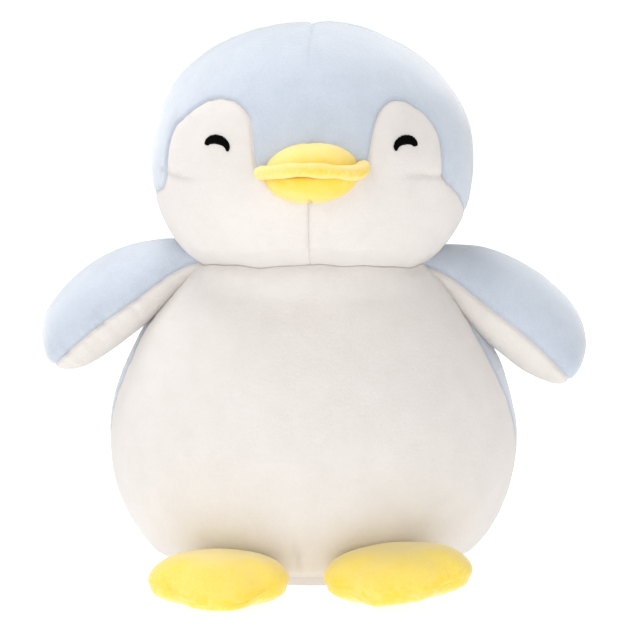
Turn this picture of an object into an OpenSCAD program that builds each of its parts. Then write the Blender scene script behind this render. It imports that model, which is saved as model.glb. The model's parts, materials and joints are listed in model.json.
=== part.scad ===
// Stuffed toy penguin, sewn from short-pile plush panels over fibre stuffing.
// +Z is up and the face looks along -Y. The origin is the middle of the flat base.

/* [Body] */
// Width of the body at its widest
body_w = 220; // [180:1:270]
// Depth of the body from belly to back
body_d = 172; // [140:1:210]
// Height of the body's widest place above the floor
body_wide_z = 73; // [60:1:85]
// Height over which the body would close below its widest place
body_low_h = 95; // [85:1:125]
// Height over which the body would close above its widest place
body_high_h = 123; // [110:1:150]
// Height of the neck seam above the floor
neck_z = 166; // [150:1:185]
// Half angle of the white belly panel, measured round from the front
belly_angle = 80; // [60:1:100]

/* [Head] */
// Width of the head across the cheeks
head_w = 171; // [140:1:206]
// Depth of the head from face to back
head_d = 154; // [130:1:186]
// Height of the whole head form, before the neck cuts it
head_h = 147; // [130:1:178]
// Height of the head's middle above the neck seam
head_rise = 56; // [46:1:66]
// Distance that the head's middle stands forward of the base's middle
head_forward = 4; // [0:1:10]
// Height of the eye patches' tops above the head's middle
patch_top = 32; // [25:1:40]

/* [Neck] */
// Radius of the firm plug of stuffing that fills the neck
plug_r = 42; // [30:1:46]
// Depth that the plug reaches down into the body
plug_depth = 16; // [10:1:30]
// Nod of the head each way, in degrees
nod = 5; // [2:1:8]

/* [Beak] */
// Width of the lip that runs across the beak
lip_w = 59; // [45:1:72]
// Width of the beak's upper and lower halves
beak_w = 47; // [36:1:56]
// Height of the whole beak
beak_h = 30; // [24:1:36]
// Distance that the beak stands out from the face
beak_out = 15; // [10:1:20]
// Height of the beak's middle above the head's middle
beak_rise = 2; // [-4:1:8]

/* [Eyes] */
// Distance between the middles of the eyes, round the face
eye_spacing = 100; // [80:1:116]
// Width of an embroidered eye
eye_w = 14; // [10:1:20]
// Thickness of the embroidered arc
eye_line = 4.8; // [3:0.2:7]
// Height of the eyes' middles above the head's middle
eye_rise = 14; // [8:1:20]

/* [Flippers] */
// Reach of a flipper from its sewn root to its tip
flipper_len = 84; // [66:1:102]
// Width of a flipper from its front seam to its back seam
flipper_w = 56; // [44:1:68]
// Angle by which the front seam hangs lower than the back one
flipper_pitch = 14; // [0:1:20]
// Extra droop of the left flipper
droop_left = 0; // [-3:1:6]
// Extra droop of the right flipper
droop_right = 4; // [-3:1:6]
// Lift of a flipper above rest
lift_up = 30; // [10:1:35]
// Swing of a flipper below rest
lift_down = 4; // [0:1:6]

/* [Feet] */
// Width of a foot across its toes
foot_w = 71; // [58:1:82]
// Length of a foot from its sewn back edge to its middle toe
foot_len = 54; // [44:1:66]
// Thickness of a foot
foot_h = 30; // [22:1:36]
// Height of the seam round a foot
foot_seam_z = 9; // [6:1:12]
// Distance from the middle of the body to the middle of a foot
foot_x = 46; // [42:1:54]
// Upward flex of a foot
flex_up = 8; // [4:1:12]

/* [Fabric] */
// Thickness of the plush, backing and pile together
plush = 2; // [1:0.1:3]
// Thickness of the finer plush on the beak
beak_plush = 1.4; // [1:0.1:2]
// Gap at a seam between two panels
seam_gap = 0.5; // [0.4:0.1:1]
// Clearance between the stuffing and the plush
fill_gap = 1; // [0.5:0.1:1.5]
// Clearance between pieces that move past each other
move_gap = 1.2; // [0.8:0.1:2]
// Width of the blank care label
label_w = 16; // [10:1:24]
// Length of the blank care label
label_len = 22; // [15:1:32]

/* [Hidden] */

BLUE = "#ccd8e6";
WHITE = "#f3eee8";
YELLOW = "#f9df7c";
BLACK = "#101012";
FIBRE = "#fafafa";

LEFT = -1;
RIGHT = 1;
round_power = 2.15;      // fullness of the head and of the body's lower part
shoulder_power = 1.7;    // slimmer form of the body above its widest place
head_z = neck_z + head_rise;
fill_inset = plush + fill_gap;
crown_angle = 89;        // panels stop just short of the crown, where their seams meet
side_angle = 90;         // seam between the front and back of the head
base_rim_z = 0.6;        // lower edge of the body panels, just off the floor
facet_room = 0.6;        // extra room where a many-sided hollow goes round the plug
label_z = 40;            // height of the care label's sewn end
sole_z = 0.2;            // lowest place of a foot's sole above the floor
flipper_seam = 1.5;      // half of the seam between a flipper's panels, in degrees round it
head_sway = 2.5;         // sideways lean of the head when it nods while it is turned, in degrees

function lerp(a, b, t) = a + (b - a) * t;
function signed_pow(v, p) = sign(v) * pow(abs(v), p);
function reversed(list) = [for (k = [len(list) - 1:-1:0]) list[k]];
function smooth(t) = let (k = min(max(t, 0), 1)) k * k * (3 - 2 * k);
function mean(points) = [for (k = [0:2]) let (v = [for (p = points) p[k]]) v * [for (p = points) 1] / len(v)];
function steps(a, b, count) = [for (i = [0:count]) lerp(a, b, i / count)];
function bezier(p, t) = p[0] * pow(1 - t, 3) + p[1] * 3 * t * pow(1 - t, 2)
    + p[2] * 3 * t * t * (1 - t) + p[3] * pow(t, 3);
// Height on a smooth curve through knots of [angle, height]
function through(knots, x) =
    let (i = max([for (k = [0:len(knots) - 2]) if (x >= knots[k][0] || k == 0) k]),
         t = (x - knots[i][0]) / (knots[i + 1][0] - knots[i][0]))
    lerp(knots[i][1], knots[i + 1][1], smooth(t));

// ---- Body form -------------------------------------------------------------------------------

// Share of the body's full width at height z
function body_share(z) = z < body_wide_z
    ? pow(1 - pow((body_wide_z - z) / body_low_h, round_power), 1 / round_power)
    : pow(1 - pow((z - body_wide_z) / body_high_h, shoulder_power), 1 / shoulder_power);
// Half of the neck seam's width and depth, which follow the head so that the two can be sewn together
neck_half_w = 0.363 * head_w;
neck_half_d = 0.315 * head_d;
// Half width or half depth of the body at height z, drawn in to the neck seam at the top
function body_half(size, neck_half, z) = size / 2 * body_share(z)
    + (neck_half - size / 2 * body_share(neck_z)) * smooth((z - body_wide_z) / (neck_z - body_wide_z));
// Point on the body at an angle round from the front and a height
function body_at(angle, z, inset) =
    [(body_half(body_w, neck_half_w, z) - inset) * sin(angle),
     -(body_half(body_d, neck_half_d, z) - inset) * cos(angle), z];
// Height of the body's underside over a place on the floor plan, or far above where it isn't
function body_under(x, y) = let (share = norm([x / body_w, y / body_d]) * 2)
    share >= 1 ? 1000 : body_wide_z - body_low_h * pow(1 - pow(share, round_power), 1 / round_power);

// ---- Head form -------------------------------------------------------------------------------

function head_tilt(z) = asin(min(max(signed_pow((z - head_z) / (head_h / 2), round_power / 2), -1), 1));
// Point on the head at an angle round from the front and an angle up from its middle
function head_at(angle, tilt, inset) = let (share = pow(cos(tilt), 2 / round_power))
    [(head_w / 2 - inset) * share * sin(angle),
     -head_forward - (head_d / 2 - inset) * share * cos(angle),
     head_z + (head_h / 2 - inset) * signed_pow(sin(tilt), 2 / round_power)];
// Lower edge of the head at an angle: it rises to the front and back to leave room for the nod
function head_rim(angle) = head_tilt(neck_z + seam_gap + move_gap / 2
    + (neck_half_d + head_forward) * abs(cos(angle)) * tan(nod + 1));
// Edge between the white face and the blue cap, on one side of the face
mask_knots = [[0, 0], [14, 2], [21, 14], [27, patch_top - 5], [37, patch_top], [45, patch_top - 1],
    [54, patch_top - 7], [62, 12], [66, 0], [69, -11], [77, -19], [90, -23]];
function mask_edge(angle) = head_tilt(head_z + through(mask_knots, abs(angle)));
face_columns = [0, 6, 11, 15, 18, 21, 24, 27, 32, 38, 44, 50, 55, 60, 63, 66, 68, 70, 74, 78, 84, 90];

// ---- Sewn sheets and stuffed lumps --------------------------------------------------------------

// A thin sheet between two grids of points that match row for row
module sheet(outer, inner) {
    rows = len(outer);
    cols = len(outer[0]);
    layer = rows * cols;
    points = [for (side = [outer, inner]) for (row = side) each row];
    cells = [for (i = [0:rows - 2]) for (j = [0:cols - 2]) i * cols + j];
    outside = [for (k = cells) each [[k, k + 1, k + cols + 1], [k, k + cols + 1, k + cols]]];
    inside = [for (f = outside) [f[2] + layer, f[1] + layer, f[0] + layer]];
    rim = concat(
        [for (j = [0:cols - 1]) j],
        [for (i = [1:rows - 1]) i * cols + cols - 1],
        [for (j = [1:cols - 1]) layer - 1 - j],
        [for (i = [1:rows - 2]) layer - cols - i * cols]
    );
    edge = [for (k = [0:len(rim) - 1])
        let (a = rim[k], b = rim[(k + 1) % len(rim)])
        each [[a, a + layer, b + layer], [a, b + layer, b]]];
    polyhedron(points, concat(outside, inside, edge));
}

// A closed lump over a stack of rings, with a point in the middle of each end
module lump(rings) {
    n = len(rings[0]);
    m = len(rings);
    points = concat([for (ring = rings) each ring], [mean(rings[0]), mean(rings[m - 1])]);
    side = [for (i = [0:m - 2]) for (j = [0:n - 1])
        let (a = i * n + j, b = i * n + (j + 1) % n)
        each [[a, a + n, b + n], [a, b + n, b]]];
    first = [for (j = [0:n - 1]) [m * n, j, (j + 1) % n]];
    last = [for (j = [0:n - 1]) [m * n + 1, (m - 1) * n + (j + 1) % n, (m - 1) * n + j]];
    polyhedron(points, concat(side, first, last));
}

// ---- Body ----------------------------------------------------------------------------------------

body_rows = [for (t = steps(0, 1, 11)) lerp(base_rim_z, neck_z - seam_gap, t)];

module body_panel(from, to, count) {
    gap = seam_gap / body_w * 180 / PI;
    angles = steps(from + gap, to - gap, count);
    sheet([for (z = body_rows) [for (a = angles) body_at(a, z, 0)]],
          [for (z = body_rows) [for (a = angles) body_at(a, z, plush)]]);
}

module belly_panel() {
    color(WHITE) body_panel(-belly_angle, belly_angle, 16);
}

module back_panel_left() {
    color(BLUE) body_panel(-180, -belly_angle, 9);
}

module back_panel_right() {
    color(BLUE) body_panel(belly_angle, 180, 9);
}

module base_panel() {
    inset = plush + seam_gap;
    color(WHITE) linear_extrude(height = plush)
        polygon([for (a = [0:10:350]) let (p = body_at(a, base_rim_z, inset)) [p[0], p[1]]]);
}

module body_stuffing() {
    socket_r = plug_r + move_gap;
    socket_z = neck_z - plug_depth - move_gap;
    top_z = neck_z - move_gap;
    around = [0:12:348];
    color(FIBRE) lump(concat(
        [for (z = steps(plush + fill_gap, top_z, 10)) [for (a = around) body_at(a, z, fill_inset)]],
        [for (z = [top_z, socket_z]) [for (a = around) [socket_r * sin(a), -socket_r * cos(a), z]]]
    ));
}

// A blank ribbon, folded once, sewn into the back seam near the base
module care_label() {
    top = body_at(180, label_z, 0);
    color(WHITE) translate([-label_w / 2, top[1] + seam_gap, top[2] - label_len])
        cube([label_w, seam_gap, label_len]);
}

module neck_stuffing() {
    color(FIBRE) translate([0, 0, neck_z]) {
        intersection() {
            sphere(r = plug_r, $fn = 64);
            translate([-plug_r, -plug_r, -move_gap]) cube([2 * plug_r, 2 * plug_r, plug_r + move_gap]);
        }
        translate([0, 0, -plug_depth]) cylinder(r = plug_r, h = plug_depth, $fn = 64);
    }
}

// ---- Head ----------------------------------------------------------------------------------------

module head_panel(columns, low, high, count) {
    sides = [for (inset = [0, plush]) [for (t = steps(0, 1, count)) [for (k = [0:len(columns) - 1])
        head_at(columns[k], lerp(low[k], high[k], t), inset)]]];
    sheet(sides[0], sides[1]);
}

// A column moved off the seam at either end of its panel
function off_seam(angle, from, to) = let (gap = seam_gap / head_w * 180 / PI)
    min(max(angle, from + gap), to - gap);
edge_gap = seam_gap / head_h * 180 / PI;

module face_half(side) {
    columns = [for (a = face_columns) off_seam(a, 0, side_angle)];
    ordered = side == RIGHT ? columns : -reversed(columns);
    head_panel(ordered, [for (a = ordered) head_rim(a)], [for (a = ordered) mask_edge(a) - edge_gap], 8);
}

module cap_back(side) {
    columns = [for (a = steps(side_angle, 180, 9)) off_seam(a, side_angle, 180)];
    ordered = side == RIGHT ? columns : -reversed(columns);
    head_panel(ordered, [for (a = ordered) head_rim(a)], [for (a = ordered) crown_angle], 11);
}

module face_left() {
    color(WHITE) face_half(LEFT);
}

module face_right() {
    color(WHITE) face_half(RIGHT);
}

module cap_back_left() {
    color(BLUE) cap_back(LEFT);
}

module cap_back_right() {
    color(BLUE) cap_back(RIGHT);
}

module cap_front() {
    half = [for (a = face_columns) if (a > 0) off_seam(a, 0, side_angle)];
    columns = concat(-reversed(half), [0], half);
    color(BLUE) head_panel(columns, [for (a = columns) mask_edge(a) + edge_gap],
        [for (a = columns) crown_angle], 8);
}

module head_stuffing() {
    hollow_r = plug_r + move_gap + facet_room;
    around = [0:12:348];
    color(FIBRE) lump(concat(
        [for (t = steps(88, 0, 9)) [for (a = around)
            head_at(a, lerp(head_rim(a) + edge_gap, 90, t / 90), fill_inset)]],
        [for (t = [4:14:88]) [for (a = around)
            [hollow_r * cos(t) * sin(a), -hollow_r * cos(t) * cos(a), neck_z + hollow_r * sin(t)]]]
    ));
}

// ---- Eyes and beak -------------------------------------------------------------------------------

// Point above the face, a distance across it from the middle and a height above the head's middle
function face_at(across, up, out) =
    let (tilt = head_tilt(head_z + up), share = pow(cos(tilt), 2 / round_power))
    head_at(asin(min(max(across / (head_w / 2 * share), -1), 1)), tilt, -out);

module eye(side) {
    radius = eye_w / 2 - eye_line / 4;
    line = [for (a = steps(-12, 192, 10))
        [radius * cos(a) + side * eye_spacing / 2 * cos(2), radius * sin(a) * 0.9 + eye_rise - 2,
         eye_line / 2 * (0.55 + 0.45 * sin(min(max(a, 8), 172)))]];
    centre = [side * eye_spacing / 2, eye_rise - 2];
    function spot(p, shift, out) =
        let (away = [p[0], p[1]] - centre, q = [p[0], p[1]] + away / norm(away) * shift)
        face_at(q[0], q[1], out);
    color(BLACK) sheet(
        [for (s = [-1, -0.3, 0.3, 1]) [for (p = line) spot(p, s * p[2], 1.2 - 0.5 * s * s)]],
        [for (s = [-1, -0.3, 0.3, 1]) [for (p = line) spot(p, s * p[2], 0.4)]]
    );
}

module eye_left() {
    eye(LEFT);
}

module eye_right() {
    eye(RIGHT);
}

// Lower and upper edges of the beak's three parts, and how far each stands out
upper_beak = [0.17 * beak_h, 0.5 * beak_h, 0.85 * beak_out];
lip = [-0.1 * beak_h, 0.17 * beak_h - seam_gap, beak_out];
lower_beak = [-0.5 * beak_h, -0.1 * beak_h - seam_gap, 0.85 * beak_out];
beak_seam_out = 0.6;     // height of the beak's sewn edge above the face
beak_rows = steps(-1, 1, 6);
beak_cols = steps(-1, 1, 12);

// Point on one part of the beak: v runs from its lower edge (-1) to its upper one (1), u across it
function beak_at(part, width, v, u, inset, share) =
    let (half = (width / 2 - inset) * pow(1 - pow(abs(v) * 0.9, 3), 0.5),
         up = beak_rise + (part[0] + part[1]) / 2 + ((part[1] - part[0]) / 2 - inset) * v,
         bulge = (1 - pow(abs(u) * 0.99, 2.4)) * (1 - pow(abs(v) * 0.97, 2.2)))
    face_at(half * u, up, beak_seam_out + (part[2] - inset) * share * pow(max(bulge, 0), 0.5));

module beak_skin(part, width) {
    color(YELLOW) sheet([for (v = beak_rows) [for (u = beak_cols) beak_at(part, width, v, u, 0, 1)]],
        [for (v = beak_rows) [for (u = beak_cols) beak_at(part, width, v, u, beak_plush, 1)]]);
}

module beak_fill(part, width) {
    inset = beak_plush + fill_gap / 2;
    sheet([for (v = beak_rows) [for (u = beak_cols) beak_at(part, width, v, u, inset, 1)]],
          [for (v = beak_rows) [for (u = beak_cols) beak_at(part, width, v, u, inset, 0.05)]]);
}

module beak_upper() {
    beak_skin(upper_beak, beak_w);
}

module beak_lip() {
    beak_skin(lip, lip_w);
}

module beak_lower() {
    beak_skin(lower_beak, beak_w);
}

module beak_stuffing() {
    color(FIBRE) {
        beak_fill(upper_beak, beak_w);
        beak_fill(lip, lip_w);
        beak_fill(lower_beak, beak_w);
    }
}

// ---- Flippers ------------------------------------------------------------------------------------

hinge_x = neck_half_w + move_gap;
hinge_z = neck_z;
swing_radii = [for (r = [2:5:127]) r];
// Lowest angle at each distance from the hinge that is clear of the body
clear_low = [for (r = swing_radii) [r, max([for (a = [-85:1:0])
    let (z = hinge_z + r * sin(a))
    if (z > 0 && hinge_x + r * cos(a) < body_half(body_w, neck_half_w, z) + move_gap) a])]];
// Highest angle at each distance from the hinge that is clear of the head
clear_high = [for (r = swing_radii) [r, min([for (a = [20:1:90])
    let (z = hinge_z + r * sin(a), tilt = head_tilt(z))
    if (a == 90 || hinge_x + r * cos(a) < head_w / 2 * pow(cos(tilt), 2 / round_power) + move_gap) a])]];

// Upper and lower outlines of a flipper seen from the front, as curves from the hinge to the tip
flipper_tip = [0.95, -0.62] * flipper_len;
flipper_over = [[3, 1], [0.32, 0.33] * flipper_len, [1.17, -0.14] * flipper_len, flipper_tip];
flipper_under = [[3, -1], [0.27, -0.37] * flipper_len, [0.67, -0.9] * flipper_len, flipper_tip];
// Point on a flipper: t runs from root to tip, angle runs round from the front seam over the top
function flipper_at(t, angle, inset, droop) =
    let (over = bezier(flipper_over, t),
         under = bezier(flipper_under, t),
         half = (over - under) / 2,
         deep = flipper_w / 2 * (0.45 + 0.55 * smooth(t / 0.4)) * pow(1 - pow(t, 7), 0.5),
         flat = (over + under) / 2 + half * (1 - inset / norm(half)) * sin(angle)
             - [0, (deep - inset) * cos(angle) * tan(flipper_pitch) * smooth(t / 0.4)],
         reach = norm(flat),
         spare = asin(min(inset / reach, 1)),
         lowest = lookup(reach, clear_low) + lift_down + spare,
         highest = lookup(reach, clear_high) - lift_up - head_sway - spare,
         turn = min(max(atan2(flat[1], flat[0]) - droop, lowest), highest))
    [hinge_x + reach * cos(turn), -(deep - inset) * cos(angle), hinge_z + reach * sin(turn)];
function flipper_ts(inset) = [for (k = steps(0, 1, 11))
    lerp(0.012 * inset, 0.992 - 0.013 * inset, 1 - pow(1 - k, 1.6))];

module flipper_panel(from, to, droop) {
    around = steps(from + flipper_seam, to - flipper_seam, 8);
    sheet([for (t = flipper_ts(0)) [for (a = around) flipper_at(t, a, 0, droop)]],
          [for (t = flipper_ts(plush)) [for (a = around) flipper_at(t, a, plush, droop)]]);
}

module flipper_fill(droop) {
    lump([for (t = flipper_ts(fill_inset)) [for (a = [0:22.5:337.5]) flipper_at(t, a, fill_inset, droop)]]);
}

module on_side(side) {
    if (side == RIGHT) {
        children();
    } else {
        mirror([1, 0, 0]) children();
    }
}

module flipper_left_top() {
    color(BLUE) on_side(LEFT) flipper_panel(0, 180, droop_left);
}

module flipper_left_under() {
    color(WHITE) on_side(LEFT) flipper_panel(180, 360, droop_left);
}

module flipper_left_stuffing() {
    color(FIBRE) on_side(LEFT) flipper_fill(droop_left);
}

module flipper_right_top() {
    color(BLUE) on_side(RIGHT) flipper_panel(0, 180, droop_right);
}

module flipper_right_under() {
    color(WHITE) on_side(RIGHT) flipper_panel(180, 360, droop_right);
}

module flipper_right_stuffing() {
    color(FIBRE) on_side(RIGHT) flipper_fill(droop_right);
}

// ---- Feet ----------------------------------------------------------------------------------------

// Place of a foot's hinge, in the seam at the back of the foot
foot_back = body_d / 2 * body_share(base_rim_z) + move_gap;
foot_y = -foot_back - foot_len / 2;
toe_depth = 0.045;       // share of the foot by which the three toes stand out
// Outline of a foot from its middle, with three soft toes at the front
function foot_reach(angle) = 1 + toe_depth * smooth((120 - abs(angle)) / 60) * cos(6 * angle);
function foot_plan(angle, share, inset) = let (reach = foot_reach(angle) * share)
    [foot_x + (foot_w / 2 - inset) * reach * sin(angle),
     foot_y - (foot_len / 2 - inset) * reach * cos(angle)];
// Highest that a foot may be at a place, to clear the body as it swings up and back through its flex
function foot_roof(p, z) = body_under(p[0], p[1] + z * sin(flex_up)) - move_gap
    - (-p[1] - foot_back) * tan(flex_up);
function foot_top_at(angle, share, inset) =
    let (p = foot_plan(angle, share, inset),
         dome = lerp(foot_seam_z, foot_h, pow(1 - pow(share, 2.6), 0.6)))
    [p[0], p[1], min(dome, foot_roof(p, dome)) - inset * (1 - pow(share, 8))];
function foot_sole_at(angle, share, inset) =
    let (p = foot_plan(angle, share, inset),
         seam = min(foot_seam_z, foot_roof(p, foot_seam_z)) - seam_gap)
    [p[0], p[1], lerp(seam, sole_z, pow(1 - pow(share, 6), 0.5)) + inset * (1 - pow(share, 8))];
foot_angles = [for (a = [0:12:348]) a > 180 ? a - 360 : a];
foot_shares = [0.12, 0.4, 0.62, 0.8, 0.92, 0.98, 1];

module foot_top() {
    lump(concat([for (s = foot_shares) [for (a = foot_angles) foot_top_at(a, s, 0)]],
        [for (s = reversed(foot_shares)) [for (a = foot_angles) foot_top_at(a, s, plush)]]));
}

module foot_sole() {
    lump(concat([for (s = foot_shares) [for (a = foot_angles) foot_sole_at(a, s, plush)]],
        [for (s = reversed(foot_shares)) [for (a = foot_angles) foot_sole_at(a, s, 0)]]));
}

module foot_stuffing() {
    shares = [for (s = foot_shares) if (s < 0.95) s];
    lump(concat([for (s = shares) [for (a = foot_angles) foot_top_at(a, s, fill_inset)]],
        [for (s = reversed(shares)) [for (a = foot_angles) foot_sole_at(a, s, fill_inset)]]));
}

module foot_left_top() {
    color(YELLOW) on_side(LEFT) foot_top();
}

module foot_left_sole() {
    color(YELLOW) on_side(LEFT) foot_sole();
}

module foot_left_stuffing() {
    color(FIBRE) on_side(LEFT) foot_stuffing();
}

module foot_right_top() {
    color(YELLOW) on_side(RIGHT) foot_top();
}

module foot_right_sole() {
    color(YELLOW) on_side(RIGHT) foot_sole();
}

module foot_right_stuffing() {
    color(FIBRE) on_side(RIGHT) foot_stuffing();
}

belly_panel();
back_panel_left();
back_panel_right();
base_panel();
body_stuffing();
care_label();
neck_stuffing();
cap_front();
cap_back_left();
cap_back_right();
face_left();
face_right();
head_stuffing();
eye_left();
eye_right();
beak_upper();
beak_lip();
beak_lower();
beak_stuffing();
flipper_left_top();
flipper_left_under();
flipper_left_stuffing();
flipper_right_top();
flipper_right_under();
flipper_right_stuffing();
foot_left_top();
foot_left_sole();
foot_left_stuffing();
foot_right_top();
foot_right_sole();
foot_right_stuffing();
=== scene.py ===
"""Stuffed toy penguin: plush panels, seams, embroidery and stuffing, built round the sewn frame."""

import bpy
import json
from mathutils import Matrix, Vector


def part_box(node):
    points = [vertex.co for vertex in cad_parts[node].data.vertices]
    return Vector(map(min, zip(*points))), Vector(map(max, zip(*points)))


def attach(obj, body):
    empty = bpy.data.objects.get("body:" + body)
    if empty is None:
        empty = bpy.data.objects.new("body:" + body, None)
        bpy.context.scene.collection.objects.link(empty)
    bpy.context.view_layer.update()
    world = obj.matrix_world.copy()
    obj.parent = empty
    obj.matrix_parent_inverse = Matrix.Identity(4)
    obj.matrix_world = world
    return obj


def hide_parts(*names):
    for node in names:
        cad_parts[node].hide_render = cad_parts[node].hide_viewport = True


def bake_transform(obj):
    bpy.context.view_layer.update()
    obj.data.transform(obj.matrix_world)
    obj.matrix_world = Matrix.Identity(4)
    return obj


bl_info = {
    "name": "Stuffed penguin",
    "version": (1, 0, 0),
    "blender": (4, 5, 0),
    "location": "View3D > Sidebar > Penguin",
    "description": "Sews a plush penguin, one operator for each group of pieces",
    "category": "Add Mesh",
}

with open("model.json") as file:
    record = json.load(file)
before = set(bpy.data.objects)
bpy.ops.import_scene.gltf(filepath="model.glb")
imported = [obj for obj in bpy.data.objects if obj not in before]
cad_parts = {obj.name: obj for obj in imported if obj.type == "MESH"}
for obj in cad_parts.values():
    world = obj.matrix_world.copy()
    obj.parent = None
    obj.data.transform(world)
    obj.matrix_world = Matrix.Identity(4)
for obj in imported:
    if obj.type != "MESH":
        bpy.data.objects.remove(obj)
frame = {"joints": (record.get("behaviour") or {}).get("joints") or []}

import json
import math

import bmesh
import bpy
import numpy as np
from mathutils import Vector, noise
from mathutils.bvhtree import BVHTree

MM = 0.001
LEFT, RIGHT = -1, 1
SIDE_NAMES = {LEFT: "left", RIGHT: "right"}
UP = math.radians(90)
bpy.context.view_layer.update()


# ---- Sizes that come from the frame --------------------------------------------------------------

def joined_box(*nodes):
    """Lowest and highest corners of several frame nodes together, in metres."""
    boxes = [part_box(node) for node in nodes]
    low = np.min([np.array(b[0]) for b in boxes], axis=0)
    high = np.max([np.array(b[1]) for b in boxes], axis=0)
    return low, high


HEAD_LOW, HEAD_HIGH = joined_box("cap_front", "cap_back_left", "cap_back_right")
HEAD_HALF_H = float(HEAD_HIGH[0] - HEAD_LOW[0]) * 0.43
BODY_LOW, BODY_HIGH = joined_box("belly_panel", "back_panel_left", "back_panel_right")
BODY_HALF_W, BODY_HALF_D, _ = (BODY_HIGH - BODY_LOW) / 2
FOOT_LOW, FOOT_HIGH = joined_box("foot_right_top", "foot_right_sole")
JOINTS = {joint["name"]: joint for joint in frame["joints"]}
SHOULDER = np.array(JOINTS["flipper_right_lift"]["pos_m"], float)
NECK_Z = float(JOINTS["head_nod"]["pos_m"][2])


def size_of(name, description, default):
    return bpy.props.FloatProperty(name=name, description=description, default=default, unit="LENGTH")


def angle_of(name, description, degrees):
    return bpy.props.FloatProperty(name=name, description=description, default=math.radians(degrees),
                                   unit="ROTATION")


def colour_of(name, description, default):
    return bpy.props.FloatVectorProperty(name=name, description=description, default=default, subtype="COLOR",
                                         min=0, max=1)


class PenguinSizes(bpy.types.PropertyGroup):
    """Sizes of the sewn forms, with defaults taken from the frame."""

    head_half_w: size_of("Head half width", "Half of the head's width across the cheeks",
                         float(HEAD_HIGH[0] - HEAD_LOW[0]) / 2)
    head_half_d: size_of("Head half depth", "Half of the head's depth from face to back",
                         float(HEAD_HIGH[1] - HEAD_LOW[1]) / 2)
    head_half_h: size_of("Head half height", "Half of the height of the whole head form", HEAD_HALF_H)
    body_wide_z: size_of("Widest height", "Height of the body's widest place above the floor", NECK_Z * 0.44)
    body_low_h: size_of("Lower closing height", "Height over which the body would close below",
                        NECK_Z * 0.572)
    body_high_h: size_of("Upper closing height", "Height over which the body would close above",
                         NECK_Z * 0.741)
    seam_depth: size_of("Seam depth", "Depth to which a seam pulls the plush in", 1.2 * MM)
    seam_width: size_of("Seam width", "Half width of the valley beside a seam", 1.1 * MM)
    pucker: size_of("Pucker", "Height of the small gathers along a seam", 0.32 * MM)
    lump: size_of("Lumps", "Height of the slow lumps that the stuffing makes", 0.9 * MM)
    plush: size_of("Plush", "Thickness of the plush, backing and pile together", 1.5 * MM)


class PenguinColours(bpy.types.PropertyGroup):
    """Colours of the plush and the thread."""

    blue: colour_of("Blue", "Pale blue of the cap, back and flippers", (0.548, 0.602, 0.682))
    white: colour_of("White", "Warm white of the face and belly", (0.740, 0.704, 0.678))
    yellow: colour_of("Yellow", "Butter yellow of the beak and feet", (0.92, 0.718, 0.190))
    thread: colour_of("Thread", "Black thread of the eyes", (0.001, 0.001, 0.001))


def sizes():
    return bpy.context.scene.penguin_sizes


def colours():
    return bpy.context.scene.penguin_colours


# ---- Small number helpers ------------------------------------------------------------------------

def lerp(a, b, t):
    return a + (b - a) * t


def smooth(t):
    t = np.clip(t, 0, 1)
    return t * t * (3 - 2 * t)


def signed_pow(v, p):
    return np.sign(v) * np.abs(v) ** p


def unit(v):
    return v / np.linalg.norm(v)


def bell(t):
    """1 at 0, falling smoothly to nothing on both sides."""
    return np.exp(-t ** 2)


def through(knots, x):
    """Smooth steps through knots of (place, value)."""
    places, values = np.array(knots, float).T
    x = np.asarray(x, float)
    i = np.clip(np.searchsorted(places, x, side="right") - 1, 0, len(places) - 2)
    t = np.clip((x - places[i]) / (places[i + 1] - places[i]), 0, 1)
    slope = np.gradient(values, places)
    width = places[i + 1] - places[i]
    rise = values[i + 1] - values[i]
    # a cubic that never overshoots its knots
    steep = width / np.where(rise == 0, 1, rise)
    m0, m1 = (np.clip(end * steep, 0, 3) * rise for end in (slope[i], slope[i + 1]))
    return ((2 * t ** 3 - 3 * t ** 2 + 1) * values[i] + (t ** 3 - 2 * t ** 2 + t) * m0
            + (-2 * t ** 3 + 3 * t ** 2) * values[i + 1] + (t ** 3 - t ** 2) * m1)


def crowded(count, share=0.55):
    """Places from 0 to 1 that crowd towards both ends, where the seams are."""
    s = np.linspace(0, 1, count)
    return lerp(s, 0.5 - 0.5 * np.cos(math.pi * s), share)


def bezier(points, t):
    p = [np.array(q, float) for q in points]
    t = np.asarray(t, float)[..., None]
    return (p[0] * (1 - t) ** 3 + p[1] * 3 * t * (1 - t) ** 2
            + p[2] * 3 * t * t * (1 - t) + p[3] * t ** 3)


def turned_out(normal, grid, inside):
    """Unit normals, turned so that most of them point away from a place inside."""
    length = np.linalg.norm(normal, axis=-1, keepdims=True)
    out = grid - inside
    fallback = out / np.maximum(np.linalg.norm(out, axis=-1, keepdims=True), 1e-9)
    normal = np.where(length > 1e-12, normal / np.maximum(length, 1e-12), fallback)
    return normal if (normal * out).sum() > 0 else -normal


def grid_normals(grid, inside):
    return turned_out(np.cross(np.gradient(grid, axis=1), np.gradient(grid, axis=0)), grid, inside)


def ring_normals(grid, inside):
    """Normals of a grid whose columns close into rings."""
    across = np.roll(grid, -1, axis=1) - np.roll(grid, 1, axis=1)
    return turned_out(np.cross(across, np.gradient(grid, axis=0)), grid, inside)


def slow_noise(points, size, seed):
    """Soft lumps from -1 to 1 with the given size in metres."""
    flat = points.reshape(-1, 3) / size
    shift = Vector((seed * 7.3, seed * 3.1, seed * 5.7))
    values = [noise.noise(Vector(p) + shift) for p in flat]
    return np.array(values).reshape(points.shape[:-1])


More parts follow.
